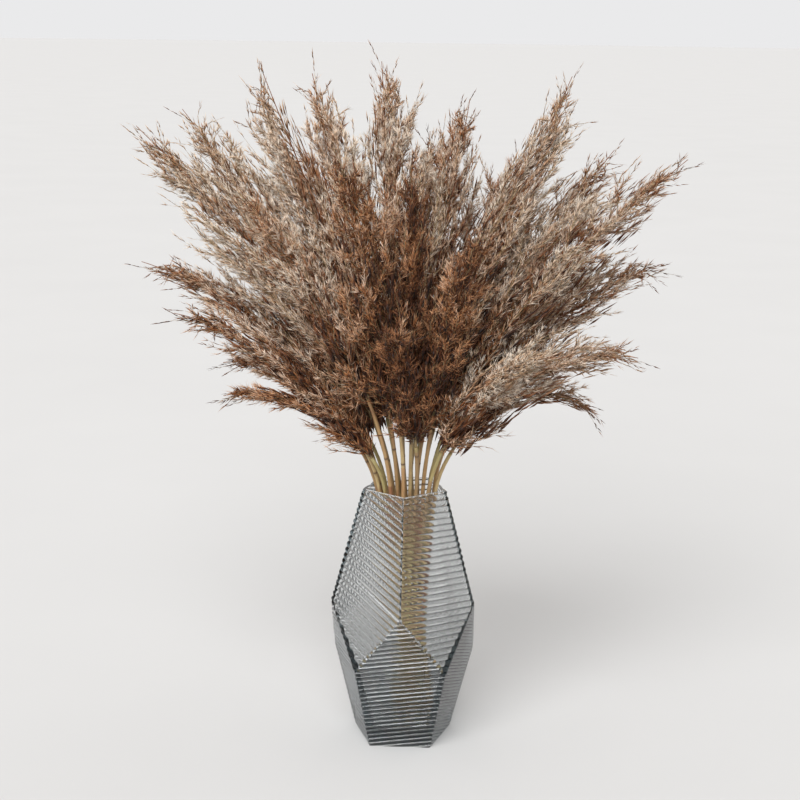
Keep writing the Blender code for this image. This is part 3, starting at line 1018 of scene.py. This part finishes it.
def smoky_pressed_glass():
    """Pressed soda glass tinted grey: clear and glossy, with the faint ripple of the mould.

    Thick glass looks darker than thin, which comes from absorption inside it. Real ribs also
    turn the dark parts of a room towards the eye as fine dark lines, and even light has none
    of those, so an attribute paints those lines on the ribs' crests or grooves instead, as
    painted shade standing in for reflection.
    """
    material, tree = new_material("smoky_pressed_glass")
    where = add_node(tree, "ShaderNodeTexCoord")
    ripple = add_node(tree, "ShaderNodeTexNoise", values={"Scale": 60.0, "Detail": 2.0},
                      links={"Vector": where.outputs["Object"]})
    bump = add_node(tree, "ShaderNodeBump", values={"Strength": 0.15, "Distance": 0.0005},
                    links={"Height": ripple.outputs["Fac"]})
    # painted shade: fine dark lines on the ribs' crests or grooves, standing in for reflections of
    # a dark room
    shade = add_node(tree, "ShaderNodeAttribute", {"attribute_name": "painted_rib_shade"})
    tint = add_node(tree, "ShaderNodeMix", {"data_type": "RGBA"},
                    values={"A": linear("#ffffff"), "B": linear("#08090a")},
                    links={"Factor": shade.outputs["Fac"]})
    shader = add_node(tree, "ShaderNodeBsdfPrincipled",
                      values={"Roughness": 0.02, "IOR": 1.5, "Transmission Weight": 1.0},
                      links={"Base Color": tint.outputs["Result"],
                             "Normal": bump.outputs["Normal"]})
    # shadows see a plain grey film, so that they are even and soft
    through = add_node(tree, "ShaderNodeBsdfTransparent", values={"Color": (0.6, 0.6, 0.6, 1.0)})
    seen = add_node(tree, "ShaderNodeLightPath")
    both = add_node(tree, "ShaderNodeMixShader",
                    links={"Fac": seen.outputs["Is Shadow Ray"], 1: shader.outputs["BSDF"],
                           2: through.outputs["BSDF"]})
    smoke = add_node(tree, "ShaderNodeVolumeAbsorption",
                     values={"Color": (0.45, 0.545, 0.575, 1.0), "Density": 40.0})
    add_node(tree, "ShaderNodeOutputMaterial",
             links={"Surface": both.outputs["Shader"], "Volume": smoke.outputs["Volume"]})
    return material


def pale_floor():
    """A matt pale painted board: even, with the slightest mottle, 330 mm across."""
    material, tree = new_material("matt_pale_floor")
    where = add_node(tree, "ShaderNodeTexCoord")
    mottle = add_node(tree, "ShaderNodeTexNoise", values={"Scale": 3.0, "Detail": 3.0},
                      links={"Vector": where.outputs["Object"]})
    colour = add_node(tree, "ShaderNodeMix", {"data_type": "RGBA"},
                      values={"A": linear("#cacaca"), "B": linear("#cfcfcf")},
                      links={"Factor": mottle.outputs["Fac"]})
    shader = add_node(tree, "ShaderNodeBsdfPrincipled", values={"Roughness": 0.9},
                      links={"Base Color": colour.outputs["Result"]})
    add_node(tree, "ShaderNodeOutputMaterial", links={"Surface": shader.outputs["BSDF"]})
    return material


# ---- the pieces -----------------------------------------------------------------------------
# Each list below has one value a reed, in the order of the reeds' numbers.
# How far its plume is paler than the middle of the bunch: partly its own tone, partly painted
# shade, darker towards the middle of the bunch.
PALE_AND_SHADE = (0.50, 0.50, 0.46, 0.48, 0.44, 0.38, 0.32, 0.22, 0.14,
        0.18, 0.27, 0.27, 0.24, 0.46, 0.75, 0.75,
        0.42, -0.12, -0.05, -0.05, -0.35, 0.90,
        0.25, -0.10, 0.15, 0.55, 0.30)
# How many times the usual width its plume has.
WIDTH = (0.45, 0.50, 0.80, 0.80, 1.15, 1.50, 0.80, 1.35, 1.40,
         1.25, 1.05, 1.45, 1.30, 1.20, 1.25, 0.45,
         1.00, 1.35, 0.70, 0.90, 1.00, 0.80,
         1.50, 1.80, 2.10, 1.60, 1.90)
# How far the branches of its plume nod to the right, and upwards.
LEAN = (0.0, 0.0, 0.0, 0.0, 0.0, 0.004, -0.034, 0.004, 0.018,
        -0.018, 0.012, 0.0, -0.010, 0.0, 0.0, 0.0,
        0.0, 0.012, 0.0, 0.0, 0.0, 0.0,
        0.0, 0.018, -0.030, -0.012, 0.0)
LIFT = (0.003, 0.008, 0.010, 0.020, 0.0, 0.006, 0.0, 0.0, 0.0,
        0.0, 0.0, 0.0, 0.020, 0.034, 0.030, 0.034,
        0.0, 0.0, 0.0, 0.0, 0.0, 0.0,
        0.0, 0.0, 0.0, 0.004, 0.0)

glass = smoky_pressed_glass()
husk_and_silk = dried_reed_husk_and_silk()
straws = (
    dried_straw_culm("dried_straw_pale", "#cbb588", "#957c4b", "#a37f56"),
    dried_straw_culm("dried_straw_olive", "#b7a874", "#807445", "#8f7450"),
    dried_straw_culm("dried_straw_tan", "#c0a070", "#86633c", "#875c3d"),
)

vase = new_piece("ribbed_vase", vase_mesh(), glass)
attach(vase, "root")
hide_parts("vase")

for number, (pale, width, lean, lift) in enumerate(zip(PALE_AND_SHADE, WIDTH, LEAN, LIFT, strict=True), 1):
    reed = f"reed_{number:02d}"
    rng = np.random.default_rng(number)
    line = reed_line(reed)
    nodes = line.foot + FIRST_NODE_ROOM + np.cumsum(rng.uniform(*NODE_GAPS, MOST_NODES))
    nodes = nodes[nodes < line.neck - LAST_NODE_ROOM]
    sheath_from = nodes[-2]
    sheath_to = sheath_from + rng.uniform(*SHEATH_LENGTHS)
    if rng.uniform() < BARE_SHARE:
        sheath_to = sheath_from
    name = f"culm_{number:02d}"
    culm = new_piece(name, culm_mesh(name, line, nodes, sheath_from, sheath_to),
                     straws[number % len(straws)])
    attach(culm, "root")
    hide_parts(reed + "_culm")
    name = f"plume_{number:02d}"
    plume = new_piece(name, Plume(line, width, lean, lift, pale, rng).mesh(name), husk_and_silk)
    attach(plume, "root")
    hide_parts(reed + "_plume")

# ---- the floor, the light and the camera ----------------------------------------------------
FLOOR_RADIUS = 60.0
FLOOR_CORNERS = 96
corner = np.arange(FLOOR_CORNERS)
angle = 2 * np.pi * corner / FLOOR_CORNERS
rim = np.column_stack([np.cos(angle), np.sin(angle), np.zeros(FLOOR_CORNERS)]) * FLOOR_RADIUS
floor = new_piece("floor", new_mesh("floor", rim, [corner[None]]), pale_floor())

world = bpy.data.worlds.new("studio")
world.use_nodes = True
tree = world.node_tree
tree.nodes.clear()
seen = add_node(tree, "ShaderNodeLightPath")
# the backdrop is one even pale grey
shown = add_node(tree, "ShaderNodeBackground",
                 values={"Color": linear("#eaeaeb"), "Strength": 1.0})
# the room's light is strongest from the wall behind the bunch, and its near end is dim
around = add_node(tree, "ShaderNodeTexCoord")
parts = add_node(tree, "ShaderNodeSeparateXYZ", links={"Vector": around.outputs["Generated"]})
dim = add_node(tree, "ShaderNodeMapRange",
               values={"From Min": -1.0, "From Max": 0.3, "To Min": 0.25, "To Max": 0.85},
               links={"Value": parts.outputs["Y"]})
soft = add_node(tree, "ShaderNodeBackground", values={"Color": linear("#f2efec")},
                links={"Strength": dim.outputs["Result"]})
both = add_node(tree, "ShaderNodeMixShader",
                links={"Fac": seen.outputs["Is Camera Ray"], 1: soft.outputs["Background"],
                       2: shown.outputs["Background"]})
add_node(tree, "ShaderNodeOutputWorld", links={"Surface": both.outputs["Shader"]})
bpy.context.scene.world = world
bpy.context.scene.view_settings.view_transform = "Standard"

# daylight from a wide window: high, in front of the bunch and a little to the left
daylight = bpy.data.lights.new("window", "SUN")
daylight.energy = 3.6
daylight.angle = np.radians(50)
window = in_scene("window", daylight)
window.rotation_euler = (np.radians(50), 0.0, np.radians(-16))

# The camera looks down by its pitch, and its right side is raised by its roll.
CAMERA_PLACE = np.array([-0.006, -1.5, 0.681])
CAMERA_PITCH = np.radians(13.0)
CAMERA_ROLL = np.radians(0.77)
ahead = np.array([0.0, np.cos(CAMERA_PITCH), -np.sin(CAMERA_PITCH)])
level_right = np.array([1.0, 0.0, 0.0])
level_up = np.cross(level_right, ahead)
right = level_right * np.cos(CAMERA_ROLL) + level_up * np.sin(CAMERA_ROLL)
up = np.cross(right, ahead)
lens = bpy.data.cameras.new("camera")
lens.lens = 73.35  # millimetres
matrix = np.eye(4)
matrix[:3, 0] = right
matrix[:3, 1] = up
matrix[:3, 2] = -ahead
matrix[:3, 3] = CAMERA_PLACE
camera = in_scene("camera", lens)
camera.matrix_world = matrix.T.tolist()
bpy.context.scene.camera = camera
